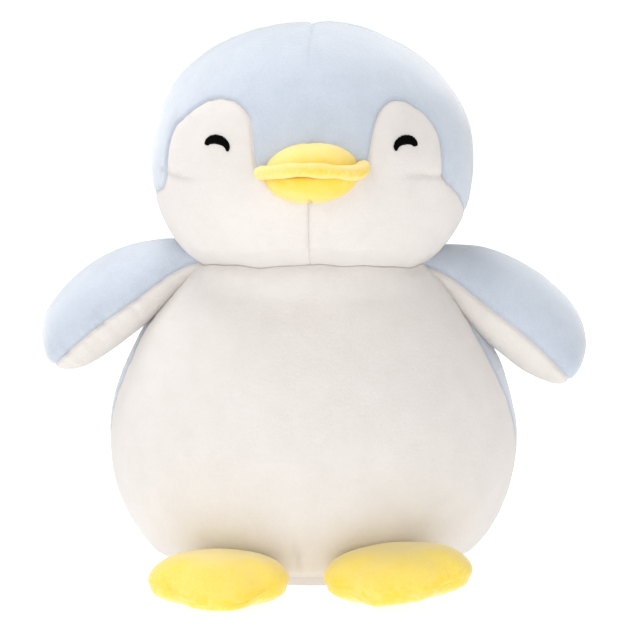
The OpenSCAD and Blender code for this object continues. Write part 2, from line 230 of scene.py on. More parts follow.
def near_line(points, line):
    """Distance to a line of points, and how far along it the nearest place is, in metres."""
    flat = points.reshape(-1, 3)
    run = np.concatenate([[0], np.cumsum(np.linalg.norm(np.diff(line, axis=0), axis=1))])
    best = np.full(len(flat), np.inf)
    place = np.zeros(len(flat))
    for a, b, start in zip(line[:-1], line[1:], run[:-1]):
        d = b - a
        size = d @ d
        if size < 1e-14:
            continue
        t = np.clip((flat - a) @ d / size, 0, 1)
        far = np.linalg.norm(flat - a - t[:, None] * d, axis=1)
        closer = far < best
        best[closer] = far[closer]
        place[closer] = start + t[closer] * math.sqrt(size)
    shape = points.shape[:-1]
    return best.reshape(shape), place.reshape(shape), run[-1]


def thinned(line, gap=3 * MM):
    """The same line with fewer points, its ends kept."""
    keep = [0]
    for k in range(1, len(line)):
        if np.linalg.norm(line[k] - line[keep[-1]]) >= gap or k == len(line) - 1:
            keep.append(k)
    return line[keep]


def gathers(along, seed):
    """Uneven gathers along a seam, from about -1 to 1: four waves, each of a length in mm and a weight."""
    total = np.zeros_like(along)
    for wave, (length, weight) in enumerate([(5.3, 0.45), (8.1, 0.6), (12.7, 0.5), (21.0, 0.35)]):
        total += weight * np.sin(along / (length * MM) * 2 * math.pi + seed * (1.7 + wave * 2.3))
    swell = 0.55 + 0.45 * np.sin(along / (34 * MM) + seed * 1.3)
    return total * swell


# ---- Meshes --------------------------------------------------------------------------------------

def new_piece(name, points, faces, material, seam=None):
    mesh = bpy.data.meshes.new(name)
    mesh.from_pydata([tuple(p) for p in points], [], faces)
    mesh.validate()
    mesh.update()
    mesh.materials.append(material)
    mesh.polygons.foreach_set("use_smooth", [True] * len(mesh.polygons))
    if seam is not None:
        # the seam mark, which on the beak and the base also carries painted shade
        attribute = mesh.attributes.new("near_seam", "FLOAT", "POINT")
        attribute.data.foreach_set("value", np.asarray(seam, np.float32))
    piece = bpy.data.objects.new(name, mesh)
    bpy.context.scene.collection.objects.link(piece)
    return piece


def grid_faces(rows, cols, start=0, closed=False):
    faces = []
    for i in range(rows - 1):
        for j in range(cols if closed else cols - 1):
            a = start + i * cols + j
            b = start + i * cols + (j + 1) % cols
            faces.append((a, b, b + cols, a + cols))
    return faces


def shell_faces(rows, cols, start=0):
    """Faces of two grids that follow each other, closed round their edge."""
    layer = rows * cols
    faces = grid_faces(rows, cols, start)
    faces += [tuple(k + layer for k in reversed(face)) for face in faces]
    rim = [*range(cols), *(i * cols + cols - 1 for i in range(1, rows)),
           *(layer - 1 - j for j in range(1, cols)), *((rows - 1 - i) * cols for i in range(1, rows - 1))]
    for a, b in zip(rim, rim[1:] + rim[:1]):
        faces.append((start + b, start + a, start + a + layer, start + b + layer))
    return faces


def closed_piece(name, outer, inner, material, seam):
    """A closed piece between two grids of points that match row for row."""
    points = np.concatenate([outer.reshape(-1, 3), inner.reshape(-1, 3)])
    faces = shell_faces(*outer.shape[:2])
    piece = new_piece(name, points, faces, material, np.tile(seam.reshape(-1), 2))
    tidy_mesh(piece)
    return piece


def sheet_piece(name, outer, normal, thickness, material, seam):
    """A closed sheet of plush: a grid of points and the same grid moved inwards."""
    return closed_piece(name, outer, outer - normal * thickness, material, seam)


def tidy_mesh(piece, merge=True):
    """Merge points that coincide and turn all faces outwards."""
    work = bmesh.new()
    work.from_mesh(piece.data)
    if merge:
        bmesh.ops.remove_doubles(work, verts=work.verts, dist=0.02 * MM)
    bmesh.ops.recalc_face_normals(work, faces=work.faces)
    work.to_mesh(piece.data)
    work.free()


def lump_piece(name, rings, material, seam):
    """A closed lump over a stack of rings, each with the same number of points."""
    rings = np.asarray(rings)
    count, around = rings.shape[:2]
    points = np.concatenate([rings.reshape(-1, 3), [rings[0].mean(axis=0)], [rings[-1].mean(axis=0)]])
    faces = grid_faces(count, around, closed=True)
    first, last = count * around, count * around + 1
    for j in range(around):
        k = (j + 1) % around
        faces.append((first, k, j))
        faces.append((last, (count - 1) * around + j, (count - 1) * around + k))
    piece = new_piece(name, points, faces, material, np.concatenate([seam.reshape(-1), [0, 0]]))
    tidy_mesh(piece)
    return piece


def joined(name, pieces):
    """Several pieces made into one."""
    work = bmesh.new()
    for piece in pieces:
        work.from_mesh(piece.data)
    work.to_mesh(pieces[0].data)
    work.free()
    for piece in pieces[1:]:
        bpy.data.objects.remove(piece)
    pieces[0].name = name
    return pieces[0]


class Seam:
    """A line of stitches: it pulls the plush in and gathers it on both sides."""

    def __init__(self, line, depth=1.0, pucker=1.0, width=1.0, fades=False, rim=False, seed=0.0):
        self.line = thinned(np.asarray(line))
        self.depth, self.pucker, self.width = depth, pucker, width
        self.fades, self.rim, self.seed = fades, rim, seed


def sewn(grid, normal, seams, seed, puff=1.0 * MM, lump=None):
    """Work a grid into sewn plush: it swells between its seams, dips at them and puckers beside them.

    Everything depends on the place alone, so panels that share a seam meet along it.
    """
    s = sizes()
    lump = s.lump if lump is None else lump
    broad, fine = 34 * MM, 13 * MM
    gather_reach, rim_reach, thread_reach, puff_reach = 6.5 * MM, 3.5 * MM, 1.7 * MM, 11 * MM
    out = lump * slow_noise(grid, broad, seed) + 0.35 * lump * slow_noise(grid, fine, seed + 3)
    nearest = np.full(grid.shape[:2], 1.0)
    dip, mark, hold = np.zeros(grid.shape[:2]), np.zeros(grid.shape[:2]), np.ones(grid.shape[:2])
    for line in seams:
        far, along, length = near_line(grid, line.line)
        rough = gathers(along, line.seed)
        width = s.seam_width * line.width
        out += line.pucker * s.pucker * rough * np.exp(-far / gather_reach) * (1 - bell(far / width))
        if line.rim:
            hold *= 1 - bell(far / rim_reach)
            nearest = np.minimum(nearest, far)
            continue
        depth = line.depth * (smooth((length - along) / (0.45 * length)) if line.fades else 1.0)
        valley = bell(far / width) + 0.35 * bell(far / (3.2 * width))
        dip = np.maximum(dip, depth * s.seam_depth * valley * (1 + 0.18 * rough * line.pucker))
        nearest = np.minimum(nearest, far + (1 - np.minimum(depth, 1)) * 30 * MM)
        mark = np.maximum(mark, depth * bell(far / thread_reach))
    out += puff * (1 - np.exp(-nearest / puff_reach)) - dip
    return grid + normal * (out * hold)[..., None], np.clip(mark, 0, 1)


def pulled(grid, target, reach, row):
    """Pull one end row of a grid onto a line, fading out over a distance along each column."""
    original = grid
    grid = grid.copy()
    order = list(range(len(grid)))[::1 if row == 0 else -1]
    delta = target - grid[order[0]]
    far = np.zeros(grid.shape[1])
    for n, i in enumerate(order):
        if n:
            far = far + np.linalg.norm(original[i] - original[order[n - 1]], axis=1)
        grid[i] = original[i] + delta * (1 - smooth(far / reach))[:, None]
    return grid


# ---- Forms ---------------------------------------------------------------------------------------

# Exponents of the rounded forms: 2 is an ellipse, more is squarer and less is more pointed
ROUND = 2.15
SHOULDERS = 1.7
HEAD_MIDDLE = np.array([0, (HEAD_LOW[1] + HEAD_HIGH[1]) / 2, HEAD_HIGH[2] - HEAD_HALF_H])


def head_tilt(z):
    """Angle up from the head's middle for a height in metres."""
    u = (np.asarray(z, float) - HEAD_MIDDLE[2]) / sizes().head_half_h
    return np.arcsin(np.clip(signed_pow(u, ROUND / 2), -1, 1))


def head_at(angle, tilt):
    """Points on the head: angle round from the front and tilt up from its middle, both in radians."""
    s = sizes()
    share = np.maximum(np.cos(tilt), 0) ** (2 / ROUND)
    x = s.head_half_w * share * np.sin(angle)
    y = -s.head_half_d * share * np.cos(angle)
    z = s.head_half_h * signed_pow(np.sin(tilt), 2 / ROUND)
    return np.stack(np.broadcast_arrays(x, y, z), axis=-1) + HEAD_MIDDLE


def body_share(z):
    """Share of the body's full width and depth that it has at a height."""
    s = sizes()
    z = np.asarray(z, float)
    below = np.clip((s.body_wide_z - z) / s.body_low_h, 0, 1)
    above = np.clip((z - s.body_wide_z) / s.body_high_h, 0, 1)
    return np.where(z < s.body_wide_z, (1 - below ** ROUND) ** (1 / ROUND),
                    (1 - above ** SHOULDERS) ** (1 / SHOULDERS))


def body_at(angle, z):
    """Points on the body: angle round from the front in radians and height in metres."""
    share = body_share(z)
    x = BODY_HALF_W * share * np.sin(angle)
    y = -(BODY_HALF_D * share) * np.cos(angle)
    return np.stack(np.broadcast_arrays(x, y, z), axis=-1)


def head_normal(points):
    """Outward direction on the head's form."""
    s = sizes()
    p = points - HEAD_MIDDLE
    reach = np.maximum(np.hypot(p[..., 0] / s.head_half_w, p[..., 1] / s.head_half_d), 1e-6)
    normal = np.stack([p[..., 0] / s.head_half_w ** 2 * reach ** (ROUND - 2),
                       p[..., 1] / s.head_half_d ** 2 * reach ** (ROUND - 2),
                       signed_pow(p[..., 2] / s.head_half_h, ROUND - 1) / s.head_half_h], axis=-1)
    return normal / np.linalg.norm(normal, axis=-1, keepdims=True)


def body_normal(points):
    """Outward direction on the body's form."""
    z = points[..., 2]
    slope = (body_share(z + 0.1 * MM) - body_share(z - 0.1 * MM)) / (0.2 * MM)
    reach = np.maximum(np.hypot(points[..., 0] / BODY_HALF_W, points[..., 1] / BODY_HALF_D), 1e-6)
    normal = np.stack([points[..., 0] / BODY_HALF_W ** 2 / reach,
                       points[..., 1] / BODY_HALF_D ** 2 / reach, -slope], axis=-1)
    return normal / np.linalg.norm(normal, axis=-1, keepdims=True)


def body_under(x, y):
    """Height of the body's underside over a place on the floor, and far above where there is none."""
    s = sizes()
    reach = np.hypot(x / BODY_HALF_W, y / BODY_HALF_D)
    inside = np.clip(reach, 0, 1)
    under = s.body_wide_z - s.body_low_h * (1 - inside ** ROUND) ** (1 / ROUND)
    return np.where(reach < 1, under, 1.0)


def neck_ring(angle):
    """The line where the head is sewn to the body: it stands a little higher at the front."""
    angle = np.asarray(angle, float)
    share = body_share(NECK_Z)
    x = (BODY_HALF_W * share - 0.8 * MM) * np.sin(angle)
    y = -(BODY_HALF_D * share) * np.cos(angle) - 2 * MM
    front_rise = 5 * MM
    waves = 0.55 * np.sin(5 * angle + 0.6) + 0.4 * np.sin(9 * angle + 2.1) + 0.25 * np.sin(17 * angle)
    z = NECK_Z + 0.5 * MM + front_rise * np.maximum(np.cos(angle), 0) ** 1.5 + waves * MM
    return np.stack([x, y, z], axis=-1)


# ---- Materials -----------------------------------------------------------------------------------

def node(tree, kind, place, sockets=None, **settings):
    """A shader node with its settings and the values of its own inputs."""
    made = tree.nodes.new(kind)
    made.location = place
    for key, value in settings.items():
        setattr(made, key, value)
    for key, value in (sockets or {}).items():
        made.inputs[key].default_value = value
    return made


def maths(tree, place, operation, *terms, use_clamp=False):
    """The result of a maths node over two terms, each an output or a number."""
    made = node(tree, "ShaderNodeMath", place, operation=operation, use_clamp=use_clamp)
    for socket, term in zip(made.inputs, terms):
        if isinstance(term, float):
            socket.default_value = term
        else:
            tree.links.new(term, socket)
    return made.outputs[0]


def blended_colour(tree, place, share, first, second):
    """A colour between two others, each an output or three numbers."""
    mix = node(tree, "ShaderNodeMix", place, data_type="RGBA")
    tree.links.new(share, mix.inputs["Factor"])
    for socket, colour in zip((mix.inputs[6], mix.inputs[7]), (first, second)):
        if isinstance(colour, bpy.types.NodeSocket):
            tree.links.new(colour, socket)
        else:
            socket.default_value = (*colour, 1)
    return mix.outputs[2]


def pile_group():
    """Cut pile: fine fibre tips, slow nap patches, and deeper colour down in the seams and in painted shade.
    """
    found = bpy.data.node_groups.get("Cut Pile")
    if found:
        return found
    tree = bpy.data.node_groups.new("Cut Pile", "ShaderNodeTree")
    for name in ("Colour", "Deep Colour"):
        socket = tree.interface.new_socket(name, in_out="INPUT", socket_type="NodeSocketColor")
        socket.default_value = (1, 1, 1, 1)
    for name, value in (("Nap Size", 60.0), ("Fibre Size", 1500.0), ("Nap Amount", 0.3),
                        ("Grain Amount", 0.3), ("Seam Amount", 0.6)):
        socket = tree.interface.new_socket(name, in_out="INPUT", socket_type="NodeSocketFloat")
        socket.default_value = value
    tree.interface.new_socket("Colour", in_out="OUTPUT", socket_type="NodeSocketColor")
    tree.interface.new_socket("Height", in_out="OUTPUT", socket_type="NodeSocketFloat")
    link = tree.links.new
    given = node(tree, "NodeGroupInput", (-1000, 0)).outputs
    result = node(tree, "NodeGroupOutput", (900, 0)).inputs
    where = node(tree, "ShaderNodeTexCoord", (-1000, -400))
    seam = node(tree, "ShaderNodeAttribute", (-700, 400), attribute_name="near_seam")
    nap = node(tree, "ShaderNodeTexNoise", (-700, 100), {"Detail": 4.0, "Roughness": 0.55, "Distortion": 0.4})
    fibre = node(tree, "ShaderNodeTexNoise", (-700, -300), {"Detail": 3.0, "Roughness": 0.75})
    clump = node(tree, "ShaderNodeTexVoronoi", (-700, -650), {"Smoothness": 0.6}, feature="SMOOTH_F1")
    for texture in (nap, fibre, clump):
        link(where.outputs["Object"], texture.inputs["Vector"])
    link(given["Nap Size"], nap.inputs["Scale"])
    link(given["Fibre Size"], fibre.inputs["Scale"])
    link(maths(tree, (-900, -650), "MULTIPLY", given["Fibre Size"], 0.42), clump.inputs["Scale"])
    patches = node(tree, "ShaderNodeMapRange", (-400, 150), {"From Min": 0.38, "From Max": 0.68})
    tips = node(tree, "ShaderNodeMapRange", (-400, -250), {"From Min": 0.36, "From Max": 0.66})
    link(nap.outputs["Fac"], patches.inputs["Value"])
    link(fibre.outputs["Fac"], tips.inputs["Value"])
    # share of deep colour: seams and painted shade, nap shadows and the dark between fibre tips
    in_seam_and_shade = maths(tree, (-400, 400), "MULTIPLY", seam.outputs["Fac"], given["Seam Amount"])
    in_nap = maths(tree, (-150, 150), "MULTIPLY", patches.outputs["Result"], given["Nap Amount"])
    in_grain = maths(tree, (-150, -250), "MULTIPLY", tips.outputs["Result"], given["Grain Amount"])
    both = maths(tree, (100, 100), "ADD", in_seam_and_shade, in_nap)
    total = maths(tree, (300, 100), "ADD", both, in_grain, use_clamp=True)
    link(blended_colour(tree, (520, 200), total, given["Colour"], given["Deep Colour"]), result["Colour"])
    lift = maths(tree, (300, -350), "MULTIPLY", clump.outputs["Distance"], 0.5)
    link(maths(tree, (520, -300), "SUBTRACT", fibre.outputs["Fac"], lift), result["Height"])
    return tree


def new_material(name, surface_values):
    material = bpy.data.materials.new(name)
    material.use_nodes = True
    tree = material.node_tree
    tree.nodes.clear()
    out = node(tree, "ShaderNodeOutputMaterial", (700, 0))
    surface = node(tree, "ShaderNodeBsdfPrincipled", (350, 0), surface_values)
    tree.links.new(surface.outputs[0], out.inputs["Surface"])
    return material, tree, surface


def raise_surface(tree, surface, height, strength, distance):
    """Let a texture's value lift the surface's normals."""
    bump = node(tree, "ShaderNodeBump", (50, -250), {"Strength": strength, "Distance": distance})
    tree.links.new(height, bump.inputs["Height"])
    tree.links.new(bump.outputs["Normal"], surface.inputs["Normal"])


def plush_material(name, colour, deep, nap, grain, seam, fibre=1500.0, sheen=0.35):
    """Plush of one colour, with the shares of its deep colour in the nap, the grain, and the seams and
    painted shade.
    """
    found = bpy.data.materials.get(name)
    if found:
        return found
    material, tree, surface = new_material(name, {
        "Roughness": 0.95, "Specular IOR Level": 0.12, "Sheen Weight": sheen, "Sheen Roughness": 0.5,
        "Sheen Tint": (1, 1, 1, 1)})
    pile = node(tree, "ShaderNodeGroup", (-250, 0), {
        "Colour": (*colour, 1), "Deep Colour": (*deep, 1), "Nap Amount": nap, "Grain Amount": grain,
        "Seam Amount": seam, "Fibre Size": fibre}, node_tree=pile_group())
    tree.links.new(pile.outputs["Colour"], surface.inputs["Base Color"])
    raise_surface(tree, surface, pile.outputs["Height"], strength=0.5, distance=0.6 * MM)
    return material


def deeper(colour, share, tint):
    return tuple(c * share * t for c, t in zip(colour, tint))


def blue_plush():
    colour = tuple(colours().blue)
    return plush_material("Blue cut pile", colour, deeper(colour, 0.74, (0.95, 0.98, 1.03)),
                          nap=0.22, grain=0.4, seam=0.4, sheen=1.0)


def white_plush():
    colour = tuple(colours().white)
    return plush_material("White cut pile", colour, deeper(colour, 0.76, (1.02, 0.98, 0.93)),
                          nap=0.14, grain=0.18, seam=0.35)


def yellow_plush():
    colour = tuple(colours().yellow)
    return plush_material("Yellow cut pile", colour, deeper(colour, 0.97, (1, 0.93, 0.36)),
                          nap=0.35, grain=0.5, seam=0.9, fibre=1100.0, sheen=0.7)


def beak_plush():
    """The yellow of the feet, a little paler and finer."""
    colour = tuple(lerp(c, pale, 0.14) for c, pale in zip(colours().yellow, (1.0, 0.85, 1.0)))
    return plush_material("Yellow fine pile", colour, deeper(colour, 0.95, (1, 0.90, 0.26)),
                          nap=0.3, grain=0.35, seam=0.8, fibre=1700.0)


def textured_material(name, tones, surface_values, texture_values, bump=None, kind="Noise", **settings):
    """A surface between two tones that follow one texture; bump is its strength and height in metres."""
    found = bpy.data.materials.get(name)
    if found:
        return found
    material, tree, surface = new_material(name, surface_values)
    where = node(tree, "ShaderNodeTexCoord", (-900, 0))
    texture = node(tree, f"ShaderNodeTex{kind}", (-600, 0), texture_values, **settings)
    tree.links.new(where.outputs["Object"], texture.inputs["Vector"])
    shade = blended_colour(tree, (-200, 100), texture.outputs["Fac"], *tones)
    tree.links.new(shade, surface.inputs["Base Color"])
    if bump:
        raise_surface(tree, surface, texture.outputs["Fac"], *bump)
    return material


def thread_material():
    """Black satin thread, dull and slightly uneven."""
    return textured_material("Black satin thread", (colours().thread, (0.003, 0.003, 0.003)),
                             {"Roughness": 0.6, "Specular IOR Level": 0.02},
                             {"Scale": 2600.0, "Detail": 2.0}, bump=(0.3, 0.1 * MM))


def fibre_material():
    """Loose white polyester fibre."""
    return textured_material("Polyester fibre", ((0.70, 0.70, 0.71), (0.93, 0.93, 0.93)), {"Roughness": 0.9},
                             {"Scale": 240.0, "Detail": 8.0, "Distortion": 1.6}, bump=(0.7, 1.5 * MM))


def ribbon_material():
    """Blank woven satin ribbon of the care label."""
    return textured_material("Label ribbon", ((0.80, 0.80, 0.78), (0.93, 0.93, 0.91)), {"Roughness": 0.42},
                             {"Scale": 420.0, "Distortion": 0.5}, bump=(0.3, 0.1 * MM),
                             kind="Wave", bands_direction="Z")


PLUSHES = {"blue_plush": blue_plush, "white_plush": white_plush, "yellow_plush": yellow_plush,
           "yellow_fleece": beak_plush}


def dress(piece, node_name):
    """Hide the frame node that a piece stands in for."""
    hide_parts(node_name)
    return piece


def inner_fibre(node_name, grid, normal, low=None):
    """Fibre that follows the inside of a closed plush form."""
    deep = sizes().plush + (0.8 + 0.5 * slow_noise(grid, 9 * MM, 3)) * MM
    rings = grid - normal * deep[..., None]
    if low is not None:
        rings[..., 2] = np.maximum(rings[..., 2], low)
    piece = lump_piece(f"{node_name}_fibre", rings, fibre_material(), np.zeros(rings.shape[:2]))
    return dress(piece, node_name)


# ---- Head ----------------------------------------------------------------------------------------

# Edge between the white face and the blue cap: degrees round from the front, height above the head's
# middle in millimetres. The left eye patch is sewn wider than the right one.
FACE_EDGE = {
    LEFT: [(0, 0), (13, 0.5), (17.5, 1.5), (19.5, 9), (20.4, 17), (21.8, 25), (25.5, 32), (31, 36),
           (38, 37), (45, 35.5), (51.5, 31), (57, 25.5), (61.5, 18), (63.2, 8), (64, -2), (67, -9),
           (75, -13.5), (90, -17)],
    RIGHT: [(0, 0), (15, 0.5), (20.5, 3), (22, 11), (23.3, 18), (25.5, 26), (29.5, 33), (34.5, 36.5),
            (39.5, 36.8), (45, 33.5), (50, 28), (53, 21), (54.5, 13), (54.8, 4), (55.5, -3), (61, -9),
            (69, -15), (78, -21.5), (90, -28)],
}
SIDE_SEAM = math.radians(88)
# Points across a face half, up the face and the cap's front, and across and up a half of the cap's back
FACE_COLS, FACE_ROWS = 118, 84
BACK_COLS, BACK_ROWS = 96, 120


def edge_columns(side):
    """Angles round the head that crowd where the face's edge runs steeply."""
    fine = np.linspace(0, 90, 1400)
    up = through(FACE_EDGE[side], fine)
    step = np.hypot(np.diff(fine) * 1.45, np.diff(up))
    run = np.concatenate([[0], np.cumsum(step)])
    even = crowded(FACE_COLS, 0.3) * run[-1]
    return np.radians(np.interp(even, run, fine)) * (SIDE_SEAM / UP)


def edge_tilt(side, angle):
    """Tilt of the face's upper edge at angles round from the front."""
    place = np.degrees(np.abs(angle)) * (UP / SIDE_SEAM)
    wobble = 0.2 * np.sin(place * 0.9 + side) + 0.15 * np.sin(place * 2.3)
    fade = smooth((place - 22) / 6) * smooth((88 - place) / 6)
    return head_tilt(HEAD_MIDDLE[2] + (through(FACE_EDGE[side], place) + wobble * fade) * MM)


def rim_tilt(angle):
    """Tilt of the head's lower edge, just over the neck."""
    return head_tilt(neck_ring(angle)[..., 2] + 1.5 * MM)


def head_line(points):
    """A line on the head through (degrees round from the front, height above its middle in mm)."""
    degrees, up = np.array(points, float).T
    t = np.linspace(0, len(points) - 1, 24)
    index = np.arange(len(points))
    angle = np.radians(np.interp(t, index, degrees))
    tilt = head_tilt(HEAD_MIDDLE[2] + np.interp(t, index, up) * MM)
    return head_at(angle, tilt)


def head_seams():
    """Every seam of the head, the same for all its panels."""
    seams = []
    for side in (LEFT, RIGHT):
        columns = edge_columns(side) * side
        seams.append(Seam(head_at(columns, edge_tilt(side, columns)), 0.8, 0.6, seed=1.3 * side))
        cheek = head_at(SIDE_SEAM * side, np.linspace(float(rim_tilt(SIDE_SEAM)), UP, 60))
        seams.append(Seam(cheek, 0.8, 0.9, seed=2.1 * side))
    chin = head_at(0.0, np.linspace(float(edge_tilt(LEFT, 0.0)), float(rim_tilt(0.0)), 40))
    back = head_at(math.pi, np.linspace(float(rim_tilt(math.pi)), UP, 80))
    forehead = head_at(0.0, np.linspace(math.radians(89), head_tilt(HEAD_MIDDLE[2] + 42 * MM), 40))
    left_dart = head_line([(67, -2.5), (57, -4), (48, -4.5), (38, -4.5)]) * (-1, 1, 1)
    right_dart = head_line([(55.5, -3.5), (48, -3), (40, -1.5), (30, -1.5)])
    seams += [
        Seam(chin, 0.4, 0.6, 0.8, seed=3.0),
        Seam(back, 0.9, 0.9, seed=4.0),
        Seam(neck_ring(np.linspace(-math.pi, math.pi, 181)), pucker=1.3, rim=True, seed=5.0),
        Seam(left_dart, 0.75, 0.7, 0.9, fades=True, seed=6.0),
        Seam(right_dart, 0.75, 0.7, 0.9, fades=True, seed=7.0),
        Seam(forehead, 0.4, 0.4, 0.7, fades=True, seed=8.0),
    ]
    return seams


def head_panel(node_name, slot, angles, low, high, rows, seams, open_low=True):
    """One sewn panel of the head between two lines of tilts."""
    tilt = lerp(low[None, :], high[None, :], crowded(rows)[:, None])
    grid = head_at(np.broadcast_to(angles, tilt.shape), tilt)
    if open_low:
        grid = pulled(grid, neck_ring(angles), 13 * MM, 0)
    normal = head_normal(grid)
    # the right side of the crown is pressed a little flat
    spot, flat_depth, flat_reach = head_at(math.radians(78), math.radians(50)), 2.4 * MM, 30 * MM
    flat = flat_depth * bell(np.linalg.norm(grid - spot, axis=-1) / flat_reach)
    grid, mark = sewn(grid - normal * flat[..., None], normal, seams, 5, puff=0.6 * MM)
    piece = sheet_piece(f"{node_name}_plush", grid, normal, sizes().plush, PLUSHES[slot](), mark)
    return dress(piece, node_name)


def bend_at_neck(piece):
    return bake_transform(piece)


class PENGUIN_OT_head(bpy.types.Operator):
    """Sew the cap, the two halves of the face and the back of the head"""
    bl_idname = "penguin.head"
    bl_label = "Head"

    def execute(self, context):
        seams = head_seams()
        columns = {side: edge_columns(side) * side for side in (LEFT, RIGHT)}
        edges = {side: edge_tilt(side, columns[side]) for side in (LEFT, RIGHT)}
        for side in (LEFT, RIGHT):
            bend_at_neck(head_panel(f"face_{SIDE_NAMES[side]}", "white_plush", columns[side][::side],
                                    rim_tilt(columns[side])[::side], edges[side][::side], FACE_ROWS, seams))
        angles = np.concatenate([columns[LEFT][:0:-1], columns[RIGHT]])
        low = np.concatenate([edges[LEFT][:0:-1], edges[RIGHT]])
        cap = head_panel("cap_front", "blue_plush", angles, low, np.full(len(angles), UP), FACE_ROWS, seams,
                         open_low=False)
        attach(cap, "head")
        for side in (LEFT, RIGHT):
            angles = (lerp(SIDE_SEAM, math.pi, crowded(BACK_COLS)) * side)[::side]
            bend_at_neck(head_panel(f"cap_back_{SIDE_NAMES[side]}", "blue_plush", angles, rim_tilt(angles),
                                    np.full(len(angles), UP), BACK_ROWS, seams))
        return {"FINISHED"}


# ---- Body ----------------------------------------------------------------------------------------

# Side seams of the belly: height in millimetres, degrees round from the front
BELLY_EDGE = {
    LEFT: [(0, 88), (55, 86), (90, 82), (125, 80), (150, 80), (172, 79)],
    RIGHT: [(0, 90), (55, 87), (75, 84), (90, 80), (106, 77), (124, 74), (146, 75), (172, 77)],
}
BODY_RIM_Z = 7.5 * MM


def base_ring(angle):
    """The line where the body is sewn to its base, tucked in under the belly."""
    angle = np.asarray(angle, float)
    return body_at(angle, np.full(angle.shape, BODY_RIM_Z)) * (0.95, 0.92, 1)


def belly_edge(side):
    """The belly's side seam: angles round the body for heights in metres."""
    def at(z):
        place = np.asarray(z) / MM
        wobble = 0.5 * np.sin(place * 0.21 + side) + 0.3 * np.sin(place * 0.47)
        return np.radians(through(BELLY_EDGE[side], place) + wobble) * side
    return at


def straight_edge(angle):
    return lambda z: np.full(np.shape(z), angle)


class PENGUIN_OT_body(bpy.types.Operator):
    """Sew the belly, the two halves of the back and the flat base"""
    bl_idname = "penguin.body"
    bl_label = "Body"

    def execute(self, context):
        heights = np.linspace(BODY_RIM_Z, NECK_Z, 90)
        around = np.linspace(-math.pi, math.pi, 181)
        dart = np.linspace(BODY_RIM_Z, 38 * MM, 24)
        seams = [Seam(body_at(belly_edge(side)(heights), heights), 0.85, seed=1.7 * side)
                 for side in (LEFT, RIGHT)]
        seams += [
            Seam(body_at(math.pi, heights), 0.9, 0.9, seed=3.1),
            Seam(body_at(np.radians(np.linspace(-3, -4.5, 24)), dart), 0.8, 0.9, 0.9, fades=True, seed=4.4),
            Seam(neck_ring(around), pucker=1.3, rim=True, seed=5.0),
            Seam(base_ring(around), pucker=1.6, rim=True, seed=6.0),
        ]
        rows = 130
        for name, node_name, slot, left, right, cols in (
            ("belly", "belly_panel", "white_plush", belly_edge(LEFT), belly_edge(RIGHT), 190),
            ("back_right", "back_panel_right", "blue_plush", belly_edge(RIGHT), straight_edge(math.pi), 110),
            ("back_left", "back_panel_left", "blue_plush", straight_edge(-math.pi), belly_edge(LEFT), 110),
        ):
            z = lerp(BODY_RIM_Z, NECK_Z, crowded(rows)[:, None])
            angle = lerp(left(z), right(z), crowded(cols)[None, :])
            grid = body_at(angle, np.broadcast_to(z, angle.shape))
            grid = pulled(grid, neck_ring(angle[-1]), 17 * MM, -1)
            grid = pulled(grid, base_ring(angle[0]), 8 * MM, 0)
            normal = body_normal(grid)
            grid, mark = sewn(grid, normal, seams, 11)
            piece = sheet_piece(f"{name}_plush", grid, normal, sizes().plush, PLUSHES[slot](), mark)
            dress(piece, node_name)
            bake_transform(piece)
        self.base()
        return {"FINISHED"}

    def base(self):
        """The flat base, whose edge rises to the body's rim."""
        flat, edge, floor_gap, wave = 0.82, 0.18, 0.15 * MM, 0.8 * MM
        shares = np.concatenate([np.linspace(0.02, flat, 24), flat + edge * np.linspace(0.08, 1, 16)])
        angle = np.linspace(0, 2 * math.pi, 180, endpoint=False)
        rings, marks = [], []
        for share in shares:
            ring = base_ring(angle) * share
            rise = (BODY_RIM_Z - floor_gap) * max((share - flat) / edge, 0) ** 1.1
            ring[:, 2] = floor_gap + rise + (1 - share) * wave * (0.6 + 0.4 * np.sin(angle * 3 + share * 5))
            rings.append(ring)
            # the rising edge, tucked in under the belly, takes the deep colour: painted shade
            marks.append(np.full(len(angle), smooth((share - 0.80) / 0.03)))
        under, marks = np.array(rings), np.array(marks)
        top = under[::-1] + np.array([0, 0, sizes().plush])
        piece = lump_piece("base_plush", np.concatenate([under, top]), white_plush(),
                           np.concatenate([marks, marks[::-1]]))
        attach(dress(piece, "base_panel"), "torso")


# ---- Eyes ----------------------------------------------------------------------------------------

def piece_surface(*names):
    """Something to drop points onto: the joined surface of finished pieces."""
    points, faces = [], []
    for name in names:
        mesh = bpy.data.objects[name].data
        start = len(points)
        points += [v.co.copy() for v in mesh.vertices]
        faces += [[start + k for k in p.vertices] for p in mesh.polygons]
    return BVHTree.FromPolygons(points, faces)


def onto_face(tree, x, z, out):
    """The place on the face straight behind (x, z), raised off it along its normal."""
    hit = tree.ray_cast(Vector((x, -0.3, z)), Vector((0, 1, 0)))
    if hit[0] is None:
        raise RuntimeError("an eye or beak point misses the face")
    return np.array(hit[0] + hit[1].normalized() * out)


# Each eye's middle (to the right of the head's middle and above it), its turn in degrees, and the arc's
# half widths, drop and half thickness, all in millimetres
EYE_MIDDLE = {LEFT: (-46.4, 14.6), RIGHT: (48.8, 14.6)}
EYE_TURN = {LEFT: -13, RIGHT: 10}
EYE_RADIUS_X = {LEFT: 5.6, RIGHT: 5.0}
EYE_RADIUS_Z, EYE_DROP, EYE_HALF_BAND = 4.3, 2.2, 2.45
STRAND_HALF_W, STRAND_SIDES, STRAND_STEPS = 0.29 * MM, 6, 9


